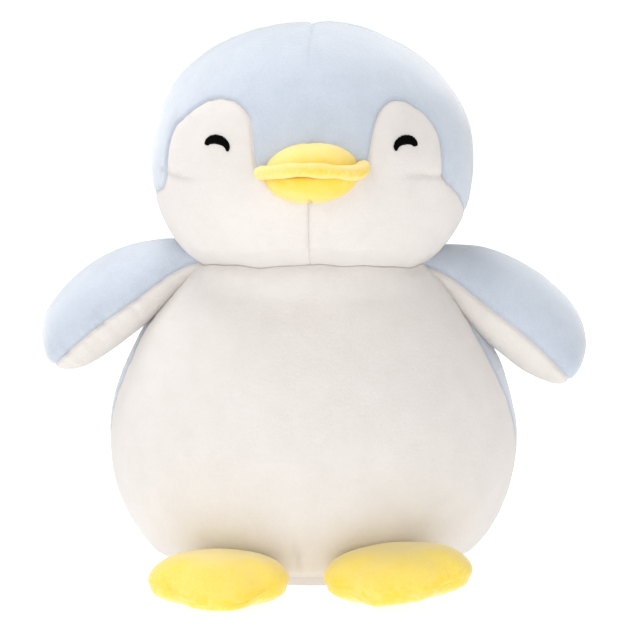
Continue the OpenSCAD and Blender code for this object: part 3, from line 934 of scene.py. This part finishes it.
def strand(path, start):
    """Points and faces of one stitch: a slightly flat tube with thin ends."""
    points = []
    last = len(path) - 1
    for n, middle in enumerate(path):
        ahead = unit(path[min(n + 1, last)] - path[max(n - 1, 0)])
        side_way = unit(np.cross(ahead, [0, -1, 0]))
        up = np.cross(side_way, ahead)
        half = STRAND_HALF_W * (0.45 if n in (0, last) else 1)
        for q in range(STRAND_SIDES):
            turn = 2 * math.pi * q / STRAND_SIDES
            points.append(middle + side_way * half * math.cos(turn) + up * half * 0.8 * math.sin(turn))
    faces = grid_faces(len(path), STRAND_SIDES, start, closed=True)
    faces.append(tuple(start + q for q in reversed(range(STRAND_SIDES))))
    faces.append(tuple(start + last * STRAND_SIDES + q for q in range(STRAND_SIDES)))
    return points, faces


class PENGUIN_OT_eyes(bpy.types.Operator):
    """Embroider the two closed, smiling eyes in satin stitch"""
    bl_idname = "penguin.eyes"
    bl_label = "Eyes"

    strands: bpy.props.IntProperty(name="Strands", description="Satin stitches in one eye", default=58)

    def execute(self, context):
        for side in (LEFT, RIGHT):
            self.eye(side)
        return {"FINISHED"}

    def eye(self, side):
        name = SIDE_NAMES[side]
        tree = piece_surface(f"face_{name}_plush")
        middle_x, middle_up = EYE_MIDDLE[side]
        cos, sin = math.cos(math.radians(EYE_TURN[side])), math.sin(math.radians(EYE_TURN[side]))
        rng = np.random.default_rng(40 + side)

        def place(t, across, out):
            """t runs along the arc, across it from its inner edge (-1) to its outer edge (1)."""
            a = math.radians(lerp(0, 180, t))
            inner = 1 - t if side == LEFT else t
            full = math.sin(math.pi * min(max(t, 0.0), 1.0)) ** 0.75
            half = EYE_HALF_BAND * (lerp(0.32, 0.12, inner) + 0.72 * full)
            x = (EYE_RADIUS_X[side] + across * half) * math.cos(a)
            z = (EYE_RADIUS_Z + across * half) * math.sin(a) - EYE_DROP
            x, z = x * cos - z * sin, x * sin + z * cos
            return onto_face(tree, (middle_x + x) * MM, HEAD_MIDDLE[2] + (middle_up + z) * MM, out * MM)

        points, faces = [], []
        for k in range(self.strands):
            t = (k + 0.5) / self.strands
            lean = rng.uniform(-0.35, 0.35) / self.strands
            reach = 1 + rng.uniform(-0.07, 0.09)
            path = []
            for u in (lerp(-1, 1, n / (STRAND_STEPS - 1)) for n in range(STRAND_STEPS)):
                rise = 0.15 + 0.85 * math.sqrt(max(1 - (abs(u)) ** 2.6, 0))
                path.append(place(t + lean * u, u * reach, rise))
            stitch_points, stitch_faces = strand(path, len(points))
            points += stitch_points
            faces += stitch_faces
        # underlay that fills between the stitches
        rows, cols = 60, 9
        faces += shell_faces(rows, cols, len(points))
        for out in (0.62, -0.4):
            for i in range(rows):
                for j in range(cols):
                    u = lerp(-0.93, 0.93, j / (cols - 1))
                    dome = out if out < 0 else 0.1 + out * math.sqrt(max(1 - abs(u) ** 2.6, 0))
                    points.append(place(lerp(0.004, 0.996, i / (rows - 1)), u, dome))
        piece = new_piece(f"eye_{name}_thread", points, faces, thread_material())
        tidy_mesh(piece, merge=False)
        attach(dress(piece, f"eye_{name}"), "head")


# ---- Beak ----------------------------------------------------------------------------------------

class PENGUIN_OT_beak(bpy.types.Operator):
    """Sew the upper beak, the rolled lip and the lower beak"""
    bl_idname = "penguin.beak"
    bl_label = "Beak"

    half_w: size_of("Half width", "Half width of the bulbs", 23.6 * MM)
    lip_half_w: size_of("Lip half width", "Half length of the lip", 26.9 * MM)
    shift: size_of("Shift", "How far right of the head's middle the beak is sewn", 1.6 * MM)

    def execute(self, context):
        self.face = piece_surface("face_left_plush", "face_right_plush", "cap_front_plush")
        fill = []
        cols, rows = 110, 60
        # each bulb: its far edge, its edge at the lip and how far it stands out; the reach and strength of
        # its painted shade
        for part, top, bottom, out, length, deep in (
            ("upper", 16.0, 0.5, 15.0, 0.42, 1.0),
            ("lower", -14.4, 0.6, 14.0, 0.62, 1.7),
        ):
            grid = self.bulb(top, bottom, out, 0.0, cols, rows)
            inside = grid.reshape(-1, 3).mean(axis=0) + np.array([0, 0.02, 0])
            seams = [Seam(grid[-1], 0.35, 0.8, 0.9, seed=1.0), Seam(grid[0], 0.6, 1.0, 1.1, seed=2.0)]
            if part == "lower":
                middle_line = grid[:38:-1, cols // 2 - 2]
                seams.append(Seam(middle_line, 0.8, 0.2, 0.9, fades=True))
            normal = grid_normals(grid, inside)
            grid, mark = sewn(grid, normal, seams, 21, puff=0.4 * MM, lump=0.35 * MM)
            # painted shade: deeper colour just under the lip's crease and towards the right, away from the
            # light
            shade = bell(np.linspace(0, 1, rows) / length)[:, None]
            shade = shade * lerp(0.45, 1.0, smooth(np.linspace(-0.2, 1.4, cols)))
            mark = np.clip(mark + deep * shade * (0.8 + 0.5 * slow_noise(grid, 6 * MM, 23)), 0, 1)
            piece = sheet_piece(f"beak_{part}_plush", grid, normal, 1.0 * MM, beak_plush(), mark)
            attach(dress(piece, f"beak_{part}"), "head")
            front, back = (self.bulb(top, bottom, reach, 2.2, 40, 24) for reach in (out, 0.8))
            plain = np.zeros(front.shape[:2])
            fill.append(closed_piece(f"fill_{part}", front, back, fibre_material(), plain))
        rings, marks = self.lip(0.0, 120, 40)
        piece = lump_piece("beak_lip_plush", rings, beak_plush(), marks)
        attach(dress(piece, "beak_lip"), "head")
        rings, marks = self.lip(1.4, 40, 16)
        fill.append(lump_piece("fill_lip", rings, fibre_material(), marks))
        piece = joined("beak_stuffing_fibre", fill)
        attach(dress(piece, "beak_stuffing"), "head")
        return {"FINISHED"}

    def bulb(self, top, bottom, out, inset, cols, rows):
        """A half dome from the lip's line to its sewn edge on the face, sizes in millimetres."""
        grid = np.zeros((rows, cols, 3))
        for i, v in enumerate(1 - (1 - np.linspace(0, 1, rows)) ** 1.35):
            own = (self.half_w - inset * MM) * math.sqrt(max(1 - (v * 0.995) ** 2.15, 0))
            skirt = 5.0 * MM * math.exp(-(v / 0.15) ** 2) if inset == 0 else 0
            height = math.sqrt(max(1 - (v * 0.985) ** 2.2, 0))
            for j, u in enumerate(lerp(-1, 1, crowded(cols, 0.8))):
                x = (own + skirt) * u
                core = min(abs(x) / (own + 1e-9), 1)
                reach = (top - bottom) * v * (1 - inset / abs(top - bottom))
                z = HEAD_MIDDLE[2] + (bottom + reach + 1.6 * x / (30 * MM)) * MM
                rise = -1.4 + (out + 1.4 - inset) * math.sqrt(max(1 - core ** 2.5, 0)) * height
                if abs(x) > own * 0.98 and v < 0.4 and inset == 0:
                    rise = max(rise, 1.2 * (1 - abs(u) ** 4))
                if inset:
                    rise = max(rise, 0.4 if out < 1 else 0.5)
                grid[i, j] = onto_face(self.face, x + self.shift, z, 0) + np.array([0, -1, 0.06]) * rise * MM
        return grid

    def lip(self, inset, steps_along, steps_round):
        """The rolled lip: it bows out round the bulbs and turns up at its right end."""
        along = np.linspace(-1, 1, steps_along)
        # height over the head's middle in millimetres, from the left end to the right end
        heights = [(-1, 0.3), (-0.6, 2.2), (-0.1, 4.5), (0.3, 3.3), (0.62, 2.0), (0.85, 3.8), (1, 6.6)]
        around = np.linspace(0, 2 * math.pi, steps_round, endpoint=False)
        cos, sin = np.cos(around), np.sin(around)
        arc = math.pi / 2 * 0.96
        path = []
        for u, up in zip(along, through(heights, along)):
            x = self.lip_half_w * math.sin(u * arc) / math.sin(arc)
            out = 1.0 + 16.5 * max(1 - abs(x / self.lip_half_w) ** 2.3, 0) ** 0.62
            foot = onto_face(self.face, x + self.shift, HEAD_MIDDLE[2] + up * MM, 0)
            path.append(foot + np.array([0, -1, 0]) * out * MM)
        path = np.array(path)
        rings, marks = [], []
        for n, u in enumerate(along):
            ahead = unit(path[min(n + 1, len(path) - 1)] - path[max(n - 1, 0)])
            out_way = unit(np.cross(ahead, [0, 0, 1]))
            up_way = np.cross(out_way, ahead)
            end = math.sqrt(max(1 - abs(u) ** 7, 0)) * (1 + 0.16 * smooth((u - 0.4) / 0.4))
            thick = max(3.6 + 0.25 * math.sin(u * 14) - inset, 0.3) * MM * end
            deep = max(4.4 - inset, 0.3) * MM * end
            rings.append(path[n] + np.outer(signed_pow(cos, 0.9) * deep, out_way)
                         + np.outer(signed_pow(sin, 0.85) * thick, up_way))
            marks.append(0.95 * bell((sin + 0.1) / 0.4) * (cos > 0) * smooth((u + 0.75) / 0.9))
        rings = np.array(rings)
        normal = ring_normals(rings, rings.mean(axis=1, keepdims=True))
        rough = 0.3 * MM * slow_noise(rings, 7 * MM, 25) + 0.12 * MM * slow_noise(rings, 2.6 * MM, 26)
        marks = np.array(marks) * np.clip(0.7 + 0.9 * slow_noise(rings, 1.5 * MM, 27), 0, 1.2)
        return rings + normal * rough[..., None], np.clip(marks, 0, 1)


# ---- Flippers ------------------------------------------------------------------------------------

# Upper and lower outlines of a flipper from the front, in millimetres from its sewn root
FLIPPER_OVER = {
    LEFT: [(-7, 9), (34, 21.5), (104, -24.5), (75.5, -51)],
    RIGHT: [(-7, 7.5), (34, 20.5), (108, -32), (74, -58)],
}
FLIPPER_UNDER = {
    LEFT: [(-7, -5), (20, -16), (50, -63), (75.5, -51)],
    RIGHT: [(-7, -7), (18, -18.5), (50, -69), (74, -58)],
}


class PENGUIN_OT_flippers(bpy.types.Operator):
    """Sew the two flippers, blue above and white below"""
    bl_idname = "penguin.flippers"
    bl_label = "Flippers"

    half_d: size_of("Half depth", "Half of a flipper's width", 27.5 * MM)
    pitch: angle_of("Pitch", "How far the front seam hangs below the back one", 15)

    def execute(self, context):
        for side in (LEFT, RIGHT):
            self.flipper(side)
        return {"FINISHED"}

    def flipper(self, side):
        name = SIDE_NAMES[side]
        rows, cols, tip = 104, 74, 0.9997
        t = np.minimum(1 - (1 - np.linspace(0, 1, rows)) ** 1.5, tip)
        half = crowded(cols, 0.8) * 180
        around = np.radians(np.concatenate([half, 180 + half[1:-1]]))
        grid = self.surface(side, t[:, None], around[None, :])
        normal = ring_normals(grid, self.core(side, t)[:, None, :])
        last = cols - 1
        front, back = grid[:, 0], grid[:, last]
        seams = [Seam(front, 0.85, 2.0, seed=1.0 + side), Seam(back, 0.85, 1.4, seed=3.0 + side)]
        grid, mark = sewn(grid, normal, seams, 30 + side, puff=0.8 * MM, lump=1.1 * MM)
        for part, pick, slot in (
            ("top", np.arange(last + 1), "blue_plush"),
            ("under", np.append(np.arange(last, len(around)), 0), "white_plush"),
        ):
            piece = sheet_piece(f"flipper_{name}_{part}_plush", grid[:, pick], normal[:, pick], sizes().plush,
                                PLUSHES[slot](), mark[:, pick])
            self.bend(dress(piece, f"flipper_{name}_{part}"), side)
        inside = (slice(8, -2, 3), slice(None, None, 2))
        self.bend(inner_fibre(f"flipper_{name}_stuffing", grid[inside], normal[inside]), side)

    def core(self, side, t):
        """The line down the middle of a flipper."""
        middle = (bezier(FLIPPER_OVER[side], t) + bezier(FLIPPER_UNDER[side], t)) / 2 * MM
        x = side * (SHOULDER[0] + middle[..., 0])
        return np.stack([x, np.zeros(len(t)), SHOULDER[2] + middle[..., 1]], axis=-1)

    def surface(self, side, t, around):
        """Points on a flipper: t from its root to its tip, and the angle round it from its front seam."""
        t, around = np.broadcast_arrays(t, around)
        over = bezier(FLIPPER_OVER[side], t) * MM
        under = bezier(FLIPPER_UNDER[side], t) * MM
        half = (over - under) / 2
        middle = (over + under) / 2
        deep = self.half_d * (0.55 + 0.45 * smooth(t / 0.45)) * np.sqrt(1 - t ** 7)
        up = signed_pow(np.sin(around), 0.92)
        fore = signed_pow(np.cos(around), 0.92)
        flat = middle + half * up[..., None]
        drop = deep * fore * math.tan(self.pitch) * smooth(t / 0.35)
        x = side * (SHOULDER[0] + flat[..., 0])
        z = SHOULDER[2] + flat[..., 1] - drop
        return np.stack([x, -deep * fore, z], axis=-1)

    def bend(self, piece, side):
        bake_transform(piece)


# ---- Feet ----------------------------------------------------------------------------------------

def foot_lift(side, x):
    """Height a foot stands clear of the floor: the right one is sewn on slightly askew."""
    if side == LEFT:
        return np.zeros(np.shape(x))
    share = (side * x - FOOT_LOW[0]) / (FOOT_HIGH[0] - FOOT_LOW[0])
    return lerp(1.5, 6.5, smooth(share)) * MM


class PENGUIN_OT_feet(bpy.types.Operator):
    """Sew the two feet, each a top with three soft toes and a sole"""
    bl_idname = "penguin.feet"
    bl_label = "Feet"

    seam_z: size_of("Seam height", "Height of the seam round a foot", 7.0 * MM)

    def execute(self, context):
        for side in (LEFT, RIGHT):
            self.foot(side)
        return {"FINISHED"}

    def plan(self, side, angle, share):
        """Place on the floor plan: angle round from the front of the foot, share out from its middle."""
        degrees = np.degrees(angle)
        # three toes and the two dips between them: place in degrees, how far out, and width in degrees
        toes = sum(depth * bell((degrees - place) / width) for place, depth, width in (
            (-3, 0.07, 26), (74, 0.055, 22), (-74, 0.055, 22), (41, -0.045, 13), (-42, -0.045, 13)))
        reach = (0.96 + toes * smooth((share - 0.3) / 0.5)) * share
        half_w = (FOOT_HIGH[0] - FOOT_LOW[0]) / 2 * (1.04 if side == LEFT else 1.09)
        half_l = (FOOT_HIGH[1] - FOOT_LOW[1]) / 2
        middle = (FOOT_HIGH + FOOT_LOW) / 2
        return side * (middle[0] + half_w * reach * np.sin(angle)), middle[1] - half_l * reach * np.cos(angle)

    def ring(self, side, angle, share, top):
        """One ring of the foot: the top falls to the seam, and the sole rises to it."""
        x, y = self.plan(side, angle, share)
        degrees = np.degrees(angle)
        # the dips between the toes run up over the top
        valleys = bell((degrees - 41) / 12) + bell((degrees + 42) / 12)
        lift = 5.5 * MM * smooth((np.abs(degrees) - 14) / 50) * smooth((150 - np.abs(degrees)) / 40)
        seam = self.seam_z + lift + 0.6 * MM * np.sin(angle * 3 + side) + 0.3 * MM * np.sin(angle * 7)
        if top:
            dome = max(1 - share ** 3.2, 0) ** 0.52
            z = seam + (FOOT_HIGH[2] - 3 * MM - seam) * dome
            z = z - 1.8 * MM * valleys * smooth((share - 0.6) / 0.3) * dome
        else:
            z = (seam + 1.5 * MM * valleys) * (1 - max(1 - share ** 2.8, 0) ** 0.5) + 0.25 * MM
            z = lerp(z, seam, smooth((share - 0.93) / 0.07))
        z = z + foot_lift(side, x)
        # pressed down softly where the body stands over it
        roof = body_under(x, y) - 0.5 * MM
        soft, far_off = 1.2 * MM, 0.2
        z = np.where(roof < far_off, -soft * np.logaddexp(-z / soft, -np.minimum(roof, far_off) / soft), z)
        return np.stack([x, y, np.maximum(z, 0.25 * MM)], axis=-1)

    def foot(self, side):
        angle = np.linspace(-math.pi, math.pi, 192, endpoint=False)
        # rings out from the middle, closer together towards the rim
        shares = np.concatenate([np.linspace(0.03, 0.8, 24), 1 - 0.2 * (1 - np.linspace(0.03, 1, 26)) ** 1.7])
        rings = [self.ring(side, angle, share, True) for share in shares]
        rings += [self.ring(side, angle, share, False) for share in shares[-2::-1]]
        grid = np.array(rings)
        rim = len(shares) - 1
        middle = np.array([*grid[rim].mean(axis=0)[:2], 10 * MM])
        normal = ring_normals(grid, middle)
        around = np.concatenate([grid[rim], grid[rim][:1]])
        seams = [Seam(around, 0.25, 1.5, 0.9, seed=7.0 + side)]
        grid, mark = sewn(grid, normal, seams, 50 + side, puff=0.5 * MM, lump=0.8 * MM)
        grid[..., 2] = np.maximum(grid[..., 2], 0.2 * MM)
        grain = 0.45 + 0.9 * slow_noise(grid, 2.4 * MM, 54 + side) + 0.6 * slow_noise(grid, 12 * MM, 58)
        far = near_line(grid, thinned(around))[0]
        mark = np.clip(0.6 * mark + 1.1 * bell(far / (5.5 * MM)) * grain, 0, 1)
        name = SIDE_NAMES[side]
        for part, rows in (("top", slice(0, rim + 1)), ("sole", slice(rim, None))):
            outer, inner = grid[rows], (grid - normal * sizes().plush)[rows]
            rings = np.concatenate([outer, inner[::-1]])
            marks = np.concatenate([mark[rows], mark[rows][::-1]])
            piece = lump_piece(f"foot_{name}_{part}_plush", rings, yellow_plush(), marks)
            self.bend(dress(piece, f"foot_{name}_{part}"), side)
        # the fibre stops short of the thin rim
        inside = np.append(np.arange(rim - 19), np.arange(rim + 20, len(grid)))
        piece = inner_fibre(f"foot_{name}_stuffing", grid[inside, ::3], normal[inside, ::3], low=1.9 * MM)
        self.bend(piece, side)

    def bend(self, piece, side):
        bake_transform(piece)


# ---- Care label ----------------------------------------------------------------------------------

class PENGUIN_OT_label(bpy.types.Operator):
    """Sew the blank care label into the back seam"""
    bl_idname = "penguin.label"
    bl_label = "Care label"

    def execute(self, context):
        low, high = (np.array(c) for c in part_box("care_label"))
        rows, cols, thickness = 40, 14, 0.35 * MM
        long = high[2] - low[2]
        down, across = np.arange(rows)[:, None] / (rows - 1), np.arange(cols)[None, :] / (cols - 1)
        curl = 1.6 * MM * np.sin(down * 2.4) ** 2
        outer = np.stack(np.broadcast_arrays(
            lerp(low[0], high[0], across), low[1] + curl + 0.5 * MM * np.sin(across * 3 + down),
            high[2] - long * down), axis=-1)
        inner = outer - np.array([0, thickness, 0])
        piece = closed_piece("care_label_ribbon", outer, inner, ribbon_material(), np.zeros((rows, cols)))
        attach(dress(piece, "care_label"), "torso")
        return {"FINISHED"}


# ---- Stuffing ------------------------------------------------------------------------------------

class PENGUIN_OT_stuffing(bpy.types.Operator):
    """Fill the body, neck and head with fibre"""
    bl_idname = "penguin.stuffing"
    bl_label = "Stuffing"

    def execute(self, context):
        bend_at_neck(self.fill("head_stuffing"))
        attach(self.fill("neck_stuffing"), "neck")
        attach(self.fill("body_stuffing"), "torso")
        return {"FINISHED"}

    def fill(self, node_name):
        """Soft fibre in place of one plain lump: a little smaller, and uneven all over."""
        source = bpy.data.objects[node_name]
        piece = bpy.data.objects.new(f"{node_name}_fibre", source.data.copy())
        bpy.context.scene.collection.objects.link(piece)
        piece.data.materials.clear()
        piece.data.materials.append(fibre_material())
        remesh = piece.modifiers.new("even", "REMESH")
        remesh.mode = "VOXEL"
        remesh.voxel_size = 3.0 * MM
        depsgraph = bpy.context.evaluated_depsgraph_get()
        mesh = bpy.data.meshes.new_from_object(piece.evaluated_get(depsgraph))
        piece.modifiers.clear()
        piece.data = mesh
        points, normals = np.zeros((2, len(mesh.vertices) * 3))
        mesh.vertices.foreach_get("co", points)
        mesh.vertices.foreach_get("normal", normals)
        points, normals = points.reshape(-1, 3), normals.reshape(-1, 3)
        inset, lump_size = 2.3 * MM, 16 * MM
        push = -inset * (1.1 + 0.6 * slow_noise(points, lump_size, 3))
        mesh.vertices.foreach_set("co", (points + normals * push[:, None]).reshape(-1))
        mesh.update()
        mesh.polygons.foreach_set("use_smooth", [True] * len(mesh.polygons))
        return dress(piece, node_name)


# ---- Stage ---------------------------------------------------------------------------------------

class PENGUIN_OT_stage(bpy.types.Operator):
    """Set the pale floor, the soft studio light and the camera"""
    bl_idname = "penguin.stage"
    bl_label = "Stage"

    distance: size_of("Distance", "Camera distance", 1.5)
    height_angle: angle_of("Height angle", "Camera angle above level", 9)
    side_angle: angle_of("Side angle", "Camera angle round to the right", 1.5)

    def execute(self, context):
        self.floor()
        self.lights()
        self.camera()
        context.scene.view_settings.view_transform = "Standard"
        context.scene.view_settings.exposure = 0.0
        return {"FINISHED"}

    def floor(self):
        material = textured_material(
            "Pale floor", ((0.50, 0.50, 0.50), (0.53, 0.53, 0.53)),
            {"Roughness": 0.8, "Emission Color": (1, 1, 1, 1), "Emission Strength": 0.80}, {"Scale": 3.0})
        half = 60.0
        corners = [(-half, -half, 0), (half, -half, 0), (half, half, 0), (-half, half, 0)]
        mesh = bpy.data.meshes.new("floor")
        mesh.from_pydata(corners, [], [(0, 1, 2, 3)])
        mesh.materials.append(material)
        floor = bpy.data.objects.new("floor", mesh)
        bpy.context.scene.collection.objects.link(floor)

    def lights(self):
        scene = bpy.context.scene
        scene.world = bpy.data.worlds.new("Studio")
        scene.world.use_nodes = True
        # white at the horizon, dimmer higher up
        tree = scene.world.node_tree
        background = tree.nodes["Background"].inputs
        background["Color"].default_value = (1, 1, 1, 1)
        where = node(tree, "ShaderNodeTexCoord", (-800, 0))
        split = node(tree, "ShaderNodeSeparateXYZ", (-600, 0))
        height = node(tree, "ShaderNodeMapRange", (-350, 0),
                      {"From Min": 0.15, "From Max": 0.45, "To Min": 1.02, "To Max": 0.36},
                      interpolation_type="SMOOTHSTEP")
        tree.links.new(where.outputs["Generated"], split.inputs[0])
        tree.links.new(split.outputs["Z"], height.inputs["Value"])
        tree.links.new(height.outputs["Result"], background["Strength"])
        aim = Vector((0, 0, 0.15))
        for name, place, size, power in (
            ("key", (-1.0, -1.2, 1.3), 1.2, 10.5),
            ("top", (-0.35, 0.4, 1.7), 1.0, 21.5),
            ("fill", (1.2, -1.2, 0.7), 1.2, 3.0),
            ("front", (0.2, -1.7, 0.2), 1.0, 4.2),
        ):
            light = bpy.data.lights.new(name, "AREA")
            light.size = size
            light.energy = power
            lamp = bpy.data.objects.new(name, light)
            lamp.location = place
            lamp.rotation_euler = (aim - Vector(place)).to_track_quat("-Z", "Y").to_euler()
            scene.collection.objects.link(lamp)

    def camera(self):
        scene = bpy.context.scene
        view_width = 0.3456
        data = bpy.data.cameras.new("camera")
        data.sensor_width = 36.0
        data.lens = data.sensor_width * self.distance / view_width
        camera = bpy.data.objects.new("camera", data)
        aim = Vector((0.0038, 0, 0.135))
        back = Vector((math.sin(self.side_angle) * math.cos(self.height_angle),
                       -math.cos(self.side_angle) * math.cos(self.height_angle), math.sin(self.height_angle)))
        camera.location = aim + back * self.distance
        camera.rotation_euler = (-back).to_track_quat("-Z", "Y").to_euler()
        scene.collection.objects.link(camera)
        scene.camera = camera


# ---- Panel and start -----------------------------------------------------------------------------

OPERATORS = (PENGUIN_OT_body, PENGUIN_OT_head, PENGUIN_OT_eyes, PENGUIN_OT_beak, PENGUIN_OT_flippers,
             PENGUIN_OT_feet, PENGUIN_OT_label, PENGUIN_OT_stuffing, PENGUIN_OT_stage)


class PENGUIN_PT_panel(bpy.types.Panel):
    """Lists the penguin's pieces, sizes and colours"""
    bl_idname = "PENGUIN_PT_panel"
    bl_label = "Penguin"
    bl_space_type = "VIEW_3D"
    bl_region_type = "UI"
    bl_category = "Penguin"

    def draw(self, context):
        column = self.layout.column()
        for operator in OPERATORS:
            column.operator(operator.bl_idname)
        for group in (context.scene.penguin_sizes, context.scene.penguin_colours):
            for name in group.__annotations__:
                column.prop(group, name)


CLASSES = (PenguinSizes, PenguinColours, *OPERATORS, PENGUIN_PT_panel)


def register():
    for cls in CLASSES:
        bpy.utils.register_class(cls)
    bpy.types.Scene.penguin_sizes = bpy.props.PointerProperty(type=PenguinSizes)
    bpy.types.Scene.penguin_colours = bpy.props.PointerProperty(type=PenguinColours)


def unregister():
    del bpy.types.Scene.penguin_colours
    del bpy.types.Scene.penguin_sizes
    for cls in reversed(CLASSES):
        bpy.utils.unregister_class(cls)


def main():
    register()
    for operator in OPERATORS:
        group, name = operator.bl_idname.split(".")
        getattr(getattr(bpy.ops, group), name)()


if __name__ == "__main__":
    main()
